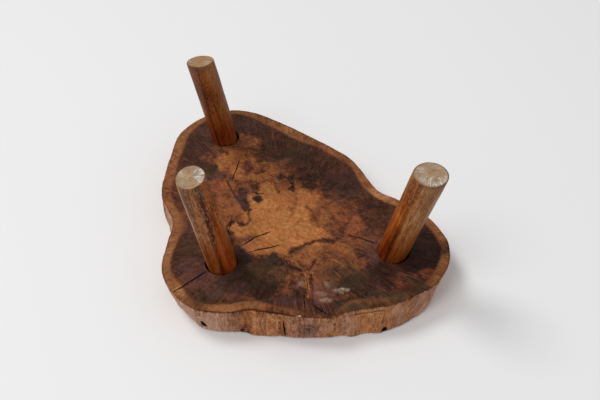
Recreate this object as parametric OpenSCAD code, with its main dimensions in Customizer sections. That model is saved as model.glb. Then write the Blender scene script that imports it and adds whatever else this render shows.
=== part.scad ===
// A low three-legged stool: a slice of a tree trunk on three round splayed legs.
// Each leg goes right through the slice and is spread by a wedge at the seat's face.
// Z is up, the floor is at Z = 0, and the origin is under the middle of the seat.

/* [Seat] */
// Height of the seat's face above the floor
stool_h = 210; // [190:1:300]
// Thickness of the trunk slice
seat_t = 45; // [35:1:60]
// Overall width of the slice, along X
seat_w = 415; // [400:1:480]
// Overall depth of the slice, along Y
seat_d = 405; // [390:1:470]
// Number of straight steps between two points of the bark line
bark_steps = 6; // [3:1:10]

/* [Back right leg] */
// Where the leg leaves the slice's underside, along X
back_root_x = 120; // [95:1:130]
// Where the leg leaves the slice's underside, along Y
back_root_y = 138; // [110:1:142]
// Where the leg's centre line meets the floor, along X
back_foot_x = 144; // [115:1:165]
// Where the leg's centre line meets the floor, along Y
back_foot_y = 126; // [105:1:155]
// Diameter in the slice
back_top_d = 38; // [32:0.5:42]
// Diameter at the foot
back_foot_d = 39.5; // [32:0.5:46]
// Slant of the sawn foot, in degrees from level
back_slant = 16; // [0:1:20]
// Heading of the sawn foot's low side, in degrees from X
back_heading = -107; // [-180:1:180]

/* [Front right leg] */
// Where the leg leaves the slice's underside, along X
front_root_x = 109; // [90:1:130]
// Where the leg leaves the slice's underside, along Y
front_root_y = -109; // [-130:1:-90]
// Where the leg's centre line meets the floor, along X
front_foot_x = 138; // [105:1:160]
// Where the leg's centre line meets the floor, along Y
front_foot_y = -103; // [-140:1:-85]
// Diameter in the slice
front_top_d = 41; // [32:0.5:42]
// Diameter at the foot
front_foot_d = 39; // [32:0.5:46]
// Slant of the sawn foot, in degrees from level
front_slant = 10; // [0:1:20]
// Heading of the sawn foot's low side, in degrees from X
front_heading = 155; // [-180:1:180]

/* [Left leg] */
// Where the leg leaves the slice's underside, along X
left_root_x = -127; // [-150:1:-105]
// Where the leg leaves the slice's underside, along Y
left_root_y = -90; // [-115:1:-70]
// Where the leg's centre line meets the floor, along X
left_foot_x = -160; // [-180:1:-120]
// Where the leg's centre line meets the floor, along Y
left_foot_y = -101; // [-130:1:-70]
// Diameter in the slice
left_top_d = 41; // [32:0.5:42]
// Diameter at the foot
left_foot_d = 44.5; // [32:0.5:46]
// Slant of the sawn foot, in degrees from level
left_slant = 0; // [0:1:20]
// Heading of the sawn foot's low side, in degrees from X
left_heading = 0; // [-180:1:180]

/* [Holes and wedges] */
// How much wider the worn mouth of each hole is than its leg
mouth_extra = 3; // [1:0.5:8]
// How deep the worn mouth reaches up into the hole
mouth_depth = 14; // [6:1:20]
// Thickness of a wedge at the seat's face
wedge_t = 5; // [3:0.5:8]
// Thickness of a wedge at its thin end
wedge_tip_t = 1.2; // [0.8:0.1:2]
// How far a wedge goes down into its leg
wedge_depth = 26; // [15:1:32]
// Depth of the worn flat that a slanted foot stands on
foot_flat = 5; // [3:0.5:8]

/* [Hidden] */
$fn = 72;

// How far each leg's wedge is turned about the leg's centre line
back_wedge_turn = 28;
front_wedge_turn = 115;
left_wedge_turn = 70;

BACK = [[back_root_x, back_root_y], [back_foot_x, back_foot_y], back_top_d, back_foot_d,
        back_slant, back_heading, back_wedge_turn];
FRONT = [[front_root_x, front_root_y], [front_foot_x, front_foot_y], front_top_d, front_foot_d,
         front_slant, front_heading, front_wedge_turn];
LEFT = [[left_root_x, left_root_y], [left_foot_x, left_foot_y], left_top_d, left_foot_d,
        left_slant, left_heading, left_wedge_turn];
LEGS = [BACK, FRONT, LEFT];

function root_of(leg) = leg[0];
function foot_of(leg) = leg[1];
function top_r(leg) = leg[2] / 2;
function foot_r(leg) = leg[3] / 2;
function slant_of(leg) = leg[4];
function heading_of(leg) = leg[5];
function wedge_turn(leg) = leg[6];

// Turn of every leg about its centre line, so that its seam is clear of the steepest line
leg_turn = 45;
under_z = stool_h - seat_t;
// How far the cutting shapes and the blanks reach past what they cut
spare = 30;
block = 2 * seat_w;

// The bark line, from the back corner clockwise as seen from above: a long shallow
// waist on the left, a round lobe over each leg and a small waist on the right.
BARK = [
    [115, 202], [72, 195], [16, 162], [-44, 119], [-74, 94], [-92, 66], [-113, 26],
    [-142, 7], [-182, -26], [-203, -62], [-207, -90], [-201, -116], [-180, -148],
    [-152, -166], [-118, -182], [-64, -192], [-38, -202], [6, -200], [66, -190],
    [94, -194], [132, -191], [160, -175], [184, -142], [192, -112], [188, -74],
    [184, -38], [193, -15], [205, 12], [207, 42], [200, 105], [191, 148], [160, 184]
];

// A point of the smooth curve from b to c, with a and d as its neighbours
function bend(a, b, c, d, s) =
    0.5 * (2 * b + (c - a) * s + (2 * a - 5 * b + 4 * c - d) * s * s
    + (3 * b - a - 3 * c + d) * s * s * s);

function smooth_loop(pts, steps) = let (count = len(pts)) [
    for (i = [0 : count - 1], k = [0 : steps - 1])
        bend(pts[(i + count - 1) % count], pts[i], pts[(i + 1) % count],
             pts[(i + 2) % count], k / steps)
];

function column(pts, axis) = [for (p = pts) p[axis]];

// The loop moved and stretched so that it is centred and exactly as wide and deep as asked
function fitted(pts, size) = let (
    low = [min(column(pts, 0)), min(column(pts, 1))],
    high = [max(column(pts, 0)), max(column(pts, 1))]
) [for (p = pts) [for (i = [0, 1]) (p[i] - (low[i] + high[i]) / 2) * size[i] / (high[i] - low[i])]];

// Height of the cut's centre that leaves a flat of foot_flat at its low side
function saw_lift(leg) = (foot_r(leg) - foot_flat) * tan(slant_of(leg));

// From the middle of the foot to where the centre line enters the slice
function leg_run(leg) = [for (i = [0, 1]) root_of(leg)[i] - foot_of(leg)[i], under_z];
function leg_length(leg) = norm(leg_run(leg));

// Puts children on the leg's centre line: Z runs from the foot up towards the seat
module on_leg(leg) {
    run = leg_run(leg);
    translate(foot_of(leg))
        rotate([0, acos(under_z / norm(run)), atan2(run[1], run[0])])
            rotate([0, 0, leg_turn])
                children();
}

// Everything between the floor and the seat's face
module stool_space() {
    translate([-block / 2, -block / 2, 0])
        cube([block, block, stool_h]);
}

// A whole leg turned in one piece: a taper from below the floor to the slice, then a
// straight tenon that reaches past the seat's face
module turned_leg(leg) {
    long = leg_length(leg);
    taper = (foot_r(leg) - top_r(leg)) / long;
    rotate_extrude()
        polygon([
            [0, -spare], [foot_r(leg) + taper * spare, -spare], [top_r(leg), long],
            [top_r(leg), long + seat_t + spare], [0, long + seat_t + spare]
        ]);
}

// The hole for one leg: straight, but wider towards its worn mouth in the underside
module leg_hole(leg) {
    long = leg_length(leg);
    flare = mouth_extra / 2 / mouth_depth * (mouth_depth + spare);
    on_leg(leg)
        rotate_extrude()
            polygon([
                [0, long - spare], [top_r(leg) + flare, long - spare],
                [top_r(leg), long + mouth_depth], [top_r(leg), long + seat_t + spare],
                [0, long + seat_t + spare]
            ]);
}

// Everything under the slanted cut across a foot
module foot_saw(leg) {
    translate([foot_of(leg)[0], foot_of(leg)[1], saw_lift(leg)])
        rotate([0, slant_of(leg), heading_of(leg)])
            translate([-2 * spare, -2 * spare, -4 * spare])
                cube(4 * spare);
}

// The wedge's taper, longer than the leg is thick and reaching past the seat's face
module wedge_taper(leg) {
    top = leg_length(leg) * stool_h / under_z;
    half_top = wedge_t / 2 + (wedge_t - wedge_tip_t) / 2 * spare / wedge_depth;
    on_leg(leg)
        translate([0, 0, top])
            rotate([90, 0, wedge_turn(leg)])
                linear_extrude(height = 2 * spare, center = true)
                    polygon([
                        [-wedge_tip_t / 2, -wedge_depth], [wedge_tip_t / 2, -wedge_depth],
                        [half_top, spare], [-half_top, spare]
                    ]);
}

module seat_slab() {
    color("#5f3a24")
        difference() {
            translate([0, 0, under_z])
                linear_extrude(height = seat_t)
                    polygon(fitted(smooth_loop(BARK, bark_steps), [seat_w, seat_d]));
            for (leg = LEGS)
                leg_hole(leg);
        }
}

module stool_leg(leg) {
    color("#8f5327")
        difference() {
            intersection() {
                on_leg(leg)
                    turned_leg(leg);
                stool_space();
            }
            foot_saw(leg);
            wedge_taper(leg);
        }
}

module stool_wedge(leg) {
    color("#c39a62")
        intersection() {
            wedge_taper(leg);
            on_leg(leg)
                turned_leg(leg);
            stool_space();
        }
}

seat_slab();
stool_leg(BACK);  // leg_back_right
stool_leg(FRONT);  // leg_front_right
stool_leg(LEFT);  // leg_left
stool_wedge(BACK);  // wedge_back_right
stool_wedge(FRONT);  // wedge_front_right
stool_wedge(LEFT);  // wedge_left
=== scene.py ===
"""A low milking stool: a thick slice of tree trunk on three round splayed legs.

Lengths in the tables below are in millimetres, in the CAD frame: X and Y across the seat and Z up
from the floor. Everything made from them is in metres.
"""
import math
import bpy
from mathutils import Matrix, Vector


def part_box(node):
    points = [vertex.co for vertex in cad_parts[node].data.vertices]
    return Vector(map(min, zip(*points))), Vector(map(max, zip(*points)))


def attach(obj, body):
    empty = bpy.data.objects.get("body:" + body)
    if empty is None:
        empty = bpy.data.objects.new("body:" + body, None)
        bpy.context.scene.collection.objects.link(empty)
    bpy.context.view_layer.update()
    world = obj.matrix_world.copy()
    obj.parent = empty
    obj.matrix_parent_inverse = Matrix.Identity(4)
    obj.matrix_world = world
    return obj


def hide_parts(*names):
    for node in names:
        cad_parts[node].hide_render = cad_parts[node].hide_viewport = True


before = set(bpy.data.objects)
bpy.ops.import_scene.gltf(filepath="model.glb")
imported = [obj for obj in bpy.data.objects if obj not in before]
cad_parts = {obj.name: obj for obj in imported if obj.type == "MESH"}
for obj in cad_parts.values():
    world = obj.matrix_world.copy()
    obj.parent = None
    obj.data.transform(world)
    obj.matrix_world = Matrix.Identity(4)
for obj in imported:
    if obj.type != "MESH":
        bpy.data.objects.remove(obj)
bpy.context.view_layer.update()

from types import SimpleNamespace

import bmesh
import bpy
import numpy as np
from mathutils import Matrix, Vector, geometry, noise
from mathutils.bvhtree import BVHTree
from mathutils.kdtree import KDTree

MM = 0.001
SEAT_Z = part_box("seat_slab")[1].z
UNDER_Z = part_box("seat_slab")[0].z
SEAT_T = SEAT_Z - UNDER_Z

# ---------------------------------------------------------------- camera and stage

LENS_MM = 50
SENSOR_MM = 36
VIEW_ELEVATION = 48
VIEW_DISTANCE = 1.283
VIEW_TARGET = Vector((0.0017, 0.046, SEAT_Z))
FLOOR_GAP = 0.6 * MM
FLOOR_HALF = 6.0
# How far from the middle the floor starts to fade out
FLOOR_FADE = 1.6
FLOOR_WHITE = (0.86, 0.86, 0.86)
SKY_WHITE = (0.86, 0.86, 0.865)
SKY_STRENGTH = 0.55
# Name, place with its height above the seat's face, size and watts
LAMPS = (("key", (6.3, 4.4, -10.3), 4.8, 640), ("fill", (0.95, -0.72, -2.2), 1.2, 13.5),
         ("top", (0, 0, 2.4), 1.8, 30))

# ---------------------------------------------------------------- the meshes

# Spacing of the mesh on the slice's faces, round its bark line and on a leg's end
FACE_STEP = 2.1 * MM
RIM_STEP = 1.7 * MM
END_STEP = 1.9 * MM
# Corners sharper than this stay sharp when a mesh is shaded smooth
SHARP_DEGREES = 40
# Heights above the underside of the rows of points on the slice's side and in its holes
RIM_ROWS = (
    0, 0.5, 1.2, 2.3, 3.8, 5.4, 7, 8.7, 10.4, 12.1, 13.8, 15.5, 17.2, 18.9, 20.6, 22.4, 24.2, 26, 27.8,
    29.6, 31.4, 33.2, 35, 36.8, 38.6, 40.3, 41.8, 43, 43.9, 44.6, 45,
)
HOLE_ROWS = (
    0, 0.6, 2, 4, 6.5, 9, 11.5, 14, 20, 28, 36, 42, 44.4, 45,
)
HOLE_SIDES = 96
LEG_SIDES = 120
LEG_ROWS = 110
KERF_SIDES = 44
# Which material each face of the slice and of a leg has
UNDER_FACE, BARK_FACE, TOP_FACE, HOLE_FACE = range(4)
FOOT_FACE, END_FACE = 1, 2

# The worn mouth of each hole, and the play between a hole and its leg
MOUTH_DEPTH = 14 * MM
MOUTH_EXTRA = 1.5 * MM
PLAY = 0.12 * MM
# How far each hole's mouth is worn to one side, where it leaves a wider gap beside its leg: x, y
MOUTH_SHIFT = {"back_right": (-1.4, 0.3), "front_right": (1.0, -0.6), "left": (-1.3, 0.0)}

# The slot for a wedge: thickness at the seat's face and at its bottom, depth, and depths of its rows
KERF_T = 5.0 * MM
KERF_TIP_T = 1.2 * MM
KERF_DEPTH = 26 * MM
KERF_ROWS = (0, 0.3, 4, 10, 18, 26)
# Rows of a wedge: depth below its top, and how much of its full size the row has
WEDGE_ROWS = ((0, 0.25), (0, 0.6), (0, 0.88), (0.15, 0.97), (0.6, 1), (3, 1), (8, 1), (14, 1), (20, 1),
              (25.4, 1))
# How far out the rings of a sawn foot are, as shares of its radius
FOOT_RINGS = (0.965, 0.92, 0.84, 0.74, 0.62, 0.5, 0.38, 0.26, 0.14)
# Height that holds all of a leg's foot, and how far below a point the search for its foot starts
FOOT_BAND = 15 * MM
RAY_START = 100 * MM

# ---------------------------------------------------------------- the slice of trunk

# Where the bark line draws in towards the seat's face, or bulges out: x, y, reach, depth
UNDERCUTS = (
    (182, -134, 34, 12), (170, -154, 26, 5), (158, -172, 30, 8), (146, -183, 16, 3), (127, -190, 12, 2),
    (62, -190, 26, -9), (40, -194, 18, -4), (-70, -190, 24, -8), (-102, -186, 30, -8.5),
    (-134, -177, 20, -5), (-190, -132, 24, 10), (-154, -165, 26, -5), (-110, -183, 26, -2.5),
    (-62, -194, 16, -3), (14, -201, 40, -3.5), (-204, -106, 28, 7), (189, -26, 24, -4),
    (208, 30, 20, -1.5), (195, 100, 60, 4), (20, 160, 90, 4), (-90, 66, 60, 3), (120, 200, 60, 3),
    (-206, -70, 20, 4), (-190, -36, 24, 3),
)

# Upright drying cracks in the bark side: x, y, width, depth at the underside and at the seat's face,
# and how far it leans on its way down to the underside
RIM_CRACKS = (
    (21, -200, 2.4, 0.2, 7, -4), (-4, -201, 0.8, 1.5, 1, 0), (172, -160, 1, 4, 1, 0),
    (203, 60, 1.2, 0, 5, 1), (-60, 106, 1.4, 0.5, 5, 0), (60, 190, 1, 0, 4, -2), (-206, -84, 1, 3, 1, 0),
)

# Insect holes and knots in the bark side: x, y, height above the underside, radius, depth or height
RIM_PITS = (
    (133, -190, 27, 2.2, 4), (131.5, -190, 31, 2.6, 5), (130, -191, 35, 2.4, 5), (80, -191, 40, 2, 4),
    (72, -190, 43, 1.8, 3), (-44, -201, 17, 1.6, 3), (-110, -184, 41, 3.2, 4), (-60, -194, 33, 1.3, 2),
    (207, 30, 22, 2.2, 4), (-20, 137, 28, 2.4, 4), (96, 199, 14, 1.9, 3),
)
RIM_KNOTS = (
    (-9, -202, 26, 8, 1.5), (196, 120, 20, 7, 1.5), (-76, 92, 24, 8, 1.5),
)

# Where the bark side is paler or darker than usual, pinker, or more orange: x, y, reach, strength
SIDE_TONES = (
    # The first spot, pale at the front right corner, is partly a painted highlight
    (150, -182, 30, 0.34), (112, -192, 20, 0.2), (82, -192, 14, -0.3), (56, -191, 18, 0.04),
    (20, -200, 14, 0.02), (-14, -202, 14, 0.06), (-44, -200, 18, 0.09), (-80, -189, 22, 0.14),
    (-108, -184, 12, 0), (-136, -175, 18, 0.14), (-166, -158, 18, 0.14), (-190, -130, 20, -0.06),
    (196, -20, 30, 0.12), (-207, -88, 24, -0.06), (172, -160, 20, 0.14),
)
SIDE_PINKS = (
    # The first spot, pink at the front right corner, is partly a painted highlight
    (150, -181, 28, 1), (118, -192, 20, 0.8), (92, -193, 12, 0.4), (-12, -202, 12, 0.6),
    (-60, -194, 14, 0.6), (-130, -177, 12, 0.7), (-166, -157, 24, 1), (196, -20, 40, 1),
    (-206, -80, 40, 0.6), (60, 190, 60, 0.6),
)
SIDE_TANS = (
    (64, -190, 26, 1), (32, -198, 16, 0.8), (-42, -201, 18, 0.7), (-88, -188, 24, 1),
    (-112, -183, 14, 0.8), (-146, -170, 10, 0.7), (-100, 50, 50, 0.6), (205, 60, 50, 0.6),
    (-40, 120, 40, 0.5),
)
# Where the grain leans along the bark line instead of standing upright: x, y, reach, lean
SIDE_LEAN = (
    (-150, -168, 60, 1), (110, 200, 40, 0.4), (-206, -90, 40, -0.4),
)

# Drying cracks in the underside and in the seat's face: width, depth, then the points along each
UNDER_CRACKS = (
    (1.9, 5, ((94, 92), (97, 76), (99, 64), (104, 45))),
    (0.6, 1.5, ((115, 55), (105, 32), (96, 12), (83, -12))),
    (1.2, 3, ((99, -24), (101, -42), (104, -58))), (2.8, 7, ((84, -81), (70, -69), (58, -61), (42, -54))),
    (2.5, 6, ((73, -92), (59, -87), (44, -83), (29, -79))),
    (2.3, 7, ((130, -125), (144, -138), (158, -150), (172, -159))),
    (0.5, 1.2, ((182, -98), (163, -97), (143, -97))), (0.9, 3, ((-3, -152), (-4, -172), (-4, -197))),
    (1.7, 4, ((-16, -180), (-27, -190), (-38, -198))),
    (0.9, 2, ((14, -101), (-1, -116), (-7, -128), (-9, -150), (-12, -174))),
    (0.7, 2, ((-19, -104), (-15, -114), (-11, -122))), (1.5, 4, ((-67, -61), (-85, -67), (-104, -77))),
    (0.8, 2, ((150, 160), (163, 168), (176, 172))), (0.7, 2, ((60, 40), (44, 52), (26, 58))),
)
TOP_CRACKS = (
    (2.2, 7, ((132, -126), (147, -140), (160, -152), (170, -159))),
    (1.6, 5, ((84, -78), (66, -64), (40, -50), (22, -44))),
    (1.2, 4, ((30, -20), (40, 14), (62, 52), (72, 84))),
    (1.5, 5, ((6, -62), (-28, -60), (-62, -66), (-98, -76))),
    (1.0, 3, ((0, -110), (-4, -150), (-4, -192))), (1.2, 4, ((150, 158), (166, 166), (180, 170))),
    (0.9, 3, ((-150, -112), (-172, -126), (-186, -136))), (0.8, 2, ((-6, 20), (-20, 54), (-30, 84))),
)

# The tree's pith, where its rays meet
PITH = (24, -34)

# Tone of the wood, painted in order over a dark heart: x, y, half width, half depth, tone, and the turn
# in degrees of a spot that is turned. Tone 0 is almost black and 1 the palest orange tan.
HEART_TONE = 0.21
# The very dark spots at (88, -106) beside the front right leg, and at (-150, -80), (-172, -88) and (-160,
# -112) round the left leg, are partly painted shadow of the legs and partly dark stain
TONES = (
    (25, 0, 100, 108, 0.44), (98, 94, 56, 36, 0.64, -10), (90, 122, 26, 15, 0.46),
    (-55, -72, 60, 52, 0.55), (-20, 0, 56, 40, 0.48, 20), (108, -5, 26, 46, 0.54, 10),
    (-70, -55, 30, 16, 0.46), (-35, -108, 44, 20, 0.46), (-20, -135, 34, 20, 0.42),
    (30, -22, 62, 42, 0.8), (12, -56, 48, 36, 0.86), (58, -8, 22, 26, 0.84), (86, -50, 18, 13, 0.84),
    (66, -82, 24, 15, 0.76), (128, 32, 14, 18, 0.5), (2, 8, 24, 16, 0.74), (30, -84, 22, 13, 0.78),
    (50, 26, 14, 14, 0.72), (64, 52, 20, 10, 0.66), (92, 66, 10, 26, 0.66), (112, 92, 14, 14, 0.72),
    (88, 70, 10, 12, 0.72), (44, 66, 14, 10, 0.62), (70, 106, 22, 13, 0.48), (26, 72, 20, 8, 0.48),
    (-10, -88, 16, 8, 0.66), (-30, -28, 16, 22, 0.54, 20), (-70, -48, 14, 8, 0.56),
    (-8, -102, 20, 8, 0.6), (158, 112, 26, 54, 0.19), (140, 150, 36, 40, 0.2),
    (86, 156, 54, 22, 0.17, -14), (34, 124, 44, 26, 0.17, -38), (-14, 96, 44, 26, 0.15, -38),
    (-26, 66, 38, 22, 0.15, -30), (-64, 40, 36, 32, 0.15, -50), (-94, 4, 34, 30, 0.2, -30),
    (-112, -34, 26, 34, 0.22), (-92, -92, 20, 14, 0.26), (-100, -62, 18, 12, 0.3),
    (-46, -46, 12, 20, 0.42), (172, 10, 18, 60, 0.24), (160, -82, 24, 42, 0.2),
    (136, -142, 40, 26, 0.24, -18), (70, -140, 42, 28, 0.13), (60, -150, 60, 18, 0.14),
    (88, -106, 20, 22, 0.09), (96, -84, 9, 18, 0.16), (40, -103, 8, 10, 0.13), (54, -116, 30, 8, 0.21),
    (50, -130, 12, 9, 0.25), (28, -130, 22, 12, 0.3, -30), (10, -140, 20, 14, 0.4),
    (18, -146, 12, 22, 0.4), (10, -174, 22, 10, 0.2), (-150, -80, 34, 32, 0.07),
    (-172, -88, 26, 36, 0.06), (-160, -112, 36, 16, 0.08), (-112, -122, 30, 16, 0.15),
    (-96, -140, 44, 14, 0.15), (-70, -152, 20, 8, 0.16), (-62, -124, 20, 10, 0.26),
    (-30, -156, 18, 22, 0.4), (16, -176, 40, 8, 0.16), (-168, -131, 20, 9, 0.34, -25),
    (-146, -144, 18, 9, 0.28), (-100, -176, 40, 7, 0.3, 8), (-166, -150, 26, 8, 0.14, 40),
    (-80, -72, 20, 12, 0.44), (134, 68, 13, 8, 0.2, 14), (116, 56, 5, 5, 0.3), (110, 14, 7, 7, 0.4),
    (144, 56, 8, 12, 0.3), (86, 14, 10, 13, 0.21), (81, -5, 7, 13, 0.15), (74, -19, 3, 7, 0.14),
    (90, 27, 9, 3, 0.16, -8), (61, 8, 7, 8, 0.1, -30), (122, 58, 12, 6, 0.22, -38), (62, 21, 5, 3, 0.16),
    (66, 32, 7, 8, 0.24), (92, -31, 5, 6, 0.3), (84, -38, 9, 4, 0.18, 6), (100, -40, 5, 8, 0.2),
    (102, -56, 4, 9, 0.22), (94, 40, 10, 8, 0.34), (80, 74, 9, 12, 0.3), (56, 86, 13, 4, 0.28),
    (42, 96, 8, 7, 0.13), (62, 62, 10, 6, 0.36, -30), (30, 50, 8, 8, 0.2), (13, 44, 5, 12, 0.22),
    (14, 27, 5, 6, 0.13), (24, 75, 6, 7, 0.26), (-15, 36, 13, 9, 0.18), (20, 104, 20, 12, 0.15),
    (37, 20, 3, 2, 0.12), (-46, 14, 16, 12, 0.24), (84, 134, 22, 10, 0.44), (112, 36, 12, 12, 0.58),
    (112, -16, 12, 20, 0.57), (90, -28, 8, 6, 0.36), (-70, -8, 12, 10, 0.34), (130, -74, 12, 16, 0.44),
    (170, -38, 9, 22, 0.42), (90, -70, 8, 9, 0.4), (9, -91, 12, 7, 0.5), (30, -108, 9, 6, 0.3),
    (8, -110, 9, 9, 0.55), (-50, -112, 14, 9, 0.5), (-12, -130, 12, 7, 0.5), (-32, -150, 12, 7, 0.32),
    (80, -171, 20, 6, 0.3), (-50, -170, 12, 7, 0.32), (134, 112, 9, 10, 0.36),
    (120, 104, 14, 5, 0.36, 30), (140, 96, 12, 10, 0.38), (84, 116, 22, 4, 0.34, 10),
)

# Dark and light veins: half width, tone, then the points along each
VEINS = (
    (3.5, 0.16, ((14, -92), (8, -88))),
    (3, 0.20, ((7, -88), (-5, -80), (-16, -74), (-30, -71), (-44, -72))),
    (4, 0.26, ((-30, -71), (-44, -74), (-56, -64), (-58, -50))),
    (3, 0.30, ((-58, -50), (-66, -38), (-72, -26))), (3.5, 0.16, ((26, -115), (8, -120), (-4, -125))),
    (4, 0.30, ((28, -136), (24, -150), (30, -160))),
    (2.5, 0.60, ((30, -97), (14, -106), (1, -116), (-6, -128))),
    (2.2, 0.72, ((-6, -124), (-10, -146), (-10, -166))),
    (2, 0.56, ((-9, -124), (-15, -114), (-20, -104))),
    (2.5, 0.22, ((-19, -104), (-15, -113), (-11, -122))),
    (1.4, 0.12, ((-14, -130), (-16, -150), (-15, -178))), (2.5, 0.60, ((8, 20), (6, 4), (10, -12))),
    (2, 0.34, ((38, 42), (38, 30), (36, 22))), (2, 0.30, ((74, -22), (72, -32), (76, -39))),
    (1.3, 0.20, ((112, 44), (104, 28), (96, 12), (84, -10))),
    (2.5, 0.42, ((-8, -8), (-20, -20), (-24, -34), (-34, -44))),
    (2, 0.44, ((-34, -8), (-46, -20), (-56, -22))), (2, 0.5, ((54, 60), (40, 52), (36, 44))),
    (2.5, 0.3, ((-62, 20), (-74, 2), (-84, -14))), (2, 0.60, ((20, -2), (12, -20), (20, -36))),
    (2, 0.66, ((0, -30), (8, -46), (4, -60))), (2, 0.40, ((-20, -96), (-32, -104), (-50, -100))),
    (2, 0.3, ((-60, -104), (-66, -116), (-60, -126))),
    (1.1, 0.0, ((129, -123), (133, -128), (140, -133))),
    (1.0, 0.1, ((-65, -60), (-85, -67), (-104, -77))),
)

# Where the heart has a red, a violet or an olive cast, and where fungus has mottled it with dark spots:
# x, y, half width, half depth, strength, and turn
REDS = (
    (-18, 112, 18, 8, 1, -20), (-42, 103, 9, 8, 1), (-54, 72, 24, 14, 0.7), (14, 72, 12, 8, 1),
    (5, 40, 8, 12, 1), (38, 74, 20, 9, 0.9), (20, 52, 10, 8, 0.5), (80, 70, 10, 14, 0.7),
    (90, 40, 14, 10, 0.6), (124, 30, 12, 26, 0.8), (200, 20, 14, 50, 0.9), (-164, -134, 24, 11, 1, -25),
    (-142, -140, 18, 14, 1), (132, -148, 20, 12, 0.6), (150, -138, 16, 10, 0.5), (20, -188, 60, 10, 0.8),
    (-26, -190, 18, 10, 1, -40), (-72, -48, 18, 26, 0.8), (-30, -60, 16, 8, 0.5), (168, -10, 10, 26, 0.7),
    (150, 104, 16, 12, 0.6), (-186, -66, 10, 16, 0.6), (46, 140, 20, 8, 0.6, -30),
    (-84, -20, 20, 10, 0.4), (-56, -160, 10, 6, 0.9), (-40, -128, 14, 6, 0.8), (-98, -172, 5, 12, 0.8),
    (-99, 36, 10, 12, 1), (-66, 88, 8, 10, 0.7),
)
VIOLETS = (
    (150, -118, 26, 20, 0.7), (122, -140, 34, 14, 0.8, -20), (98, -158, 30, 14, 0.8),
    (78, -76, 9, 18, 0.7), (156, -50, 14, 30, 0.6), (-32, -158, 20, 20, 1), (-98, -84, 12, 34, 0.7),
    (16, -176, 40, 8, 0.8), (150, 122, 30, 44, 0.4), (96, 160, 56, 18, 0.5, -14),
    (-70, 36, 40, 30, 0.4, -50), (84, 6, 14, 22, 0.7), (122, 58, 14, 8, 1, -38), (-150, -86, 36, 40, 0.3),
    (-104, -152, 8, 14, 0.6), (2, -146, 6, 7, 0.8),
)
OLIVES = (
    (150, -92, 18, 12, 0.6), (60, -132, 40, 24, 0.8), (-62, -132, 34, 22, 0.8),
    (-162, -153, 34, 8, 1, 30), (-110, -166, 44, 9, 0.9), (40, -104, 10, 10, 0.9), (134, 66, 14, 9, 0.8),
    (60, 9, 6, 6, 0.8), (20, 96, 50, 20, 0.5, -38), (-62, -186, 30, 8, 1), (150, 60, 20, 20, 0.4),
    (120, -168, 26, 8, 0.8),
)
MOTTLES = (
    (78, 10, 22, 34, 0.9), (76, 60, 50, 34, 1), (10, 44, 36, 26, 1, -20), (-30, -30, 34, 34, 0.5),
    (-50, -84, 50, 34, 0.6), (100, 96, 50, 26, 0.8), (-100, -172, 70, 14, 1, 8), (6, -130, 34, 30, 0.9),
    (-70, 10, 40, 40, 0.3), (112, 6, 22, 46, -0.5), (50, -104, 40, 16, 0.5), (170, 120, 14, 60, 0.3),
)

# Pale scuffs with torn fibres on the underside, in the same form. The last is a painted highlight at the
# arris.
SCUFFS_AND_HIGHLIGHT = (
    (-58, -156, 7, 2.6, 1, 14), (-50, -158, 5, 2, 0.6, 20), (-54, -162, 4, 2, 0.35),
    (-36, -146, 5, 3, 0.3, 70), (-28, -162, 8, 3, 0.35, 10), (-32, -172, 8, 3, 0.45),
    (0, -146, 4, 5, 0.25), (4, -199, 5, 2.2, 1), (-44, -200, 4, 1.6, 0.6, 30),
)

# Width of the pale sapwood inside the bark line: x, y, reach, extra width over the usual
SAP_WIDTH = 13
SAP_CHANGES = (
    (186, 120, 50, 4), (200, 50, 40, 5), (176, -50, 36, 3), (165, -150, 22, 5), (96, -190, 30, 3),
    (62, -190, 26, 9), (20, -198, 20, 3), (-10, -202, 26, -6), (-40, -200, 24, -8), (-76, -186, 26, 9),
    (-112, -182, 26, 4), (-158, -164, 24, -6), (-182, -138, 24, 1), (-200, -114, 20, 3),
    (-207, -86, 20, -3), (-198, -52, 24, 0), (-128, 14, 30, 2), (-104, 46, 30, 3), (-88, 74, 20, -4),
    (-58, 104, 24, 3), (4, 146, 40, 9), (44, 172, 34, 5), (108, 200, 34, -4), (152, 188, 26, -5),
)

# Where the sapwood is paler or darker than usual: x, y, reach, change of tone
SAP_TONES = (
    (-118, 10, 40, 0.16), (-110, 18, 12, 0.06), (-99, 38, 12, -0.14), (-98, 58, 16, 0.04),
    (-88, 78, 18, -0.16), (-68, 88, 14, -0.22), (-56, 104, 20, -0.06), (-30, 124, 20, -0.18),
    (0, 146, 40, -0.06), (50, 176, 40, -0.12), (120, 202, 50, -0.1), (170, 170, 30, -0.02),
    (196, 100, 40, 0.02), (206, 30, 34, -0.14), (190, -30, 30, -0.02), (186, -90, 34, 0.06),
    (178, -140, 22, -0.04), (163, -156, 12, 0.14), (140, -182, 24, -0.24), (100, -188, 26, 0.1),
    (62, -190, 20, -0.04), (28, -193, 24, -0.32), (-6, -200, 24, -0.34), (-36, -200, 20, -0.42),
    (-58, -191, 18, -0.3), (-82, -186, 22, -0.34), (-106, -182, 20, -0.46), (-130, -172, 22, -0.34),
    (-160, -158, 24, -0.6), (-184, -134, 18, 0), (-204, -88, 18, -0.4), (-198, -52, 20, 0),
    (-176, -22, 24, 0.02),
)

# Where the dark line along the arris is wider: x, y, reach, extra width
ARRIS_LINE = (
    (112, -191, 30, 1.6), (70, -189, 34, 2.2), (24, -197, 34, 2), (-206, -90, 30, 1.2),
    (-160, -160, 30, 0.8), (20, 163, 40, 1.4), (-60, 100, 24, 0.8),
)

# A thin dark line level along the bark side: x, height above the underside, half sizes
BARK_LEDGE = (-87, 7, 27, 0.9)
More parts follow.
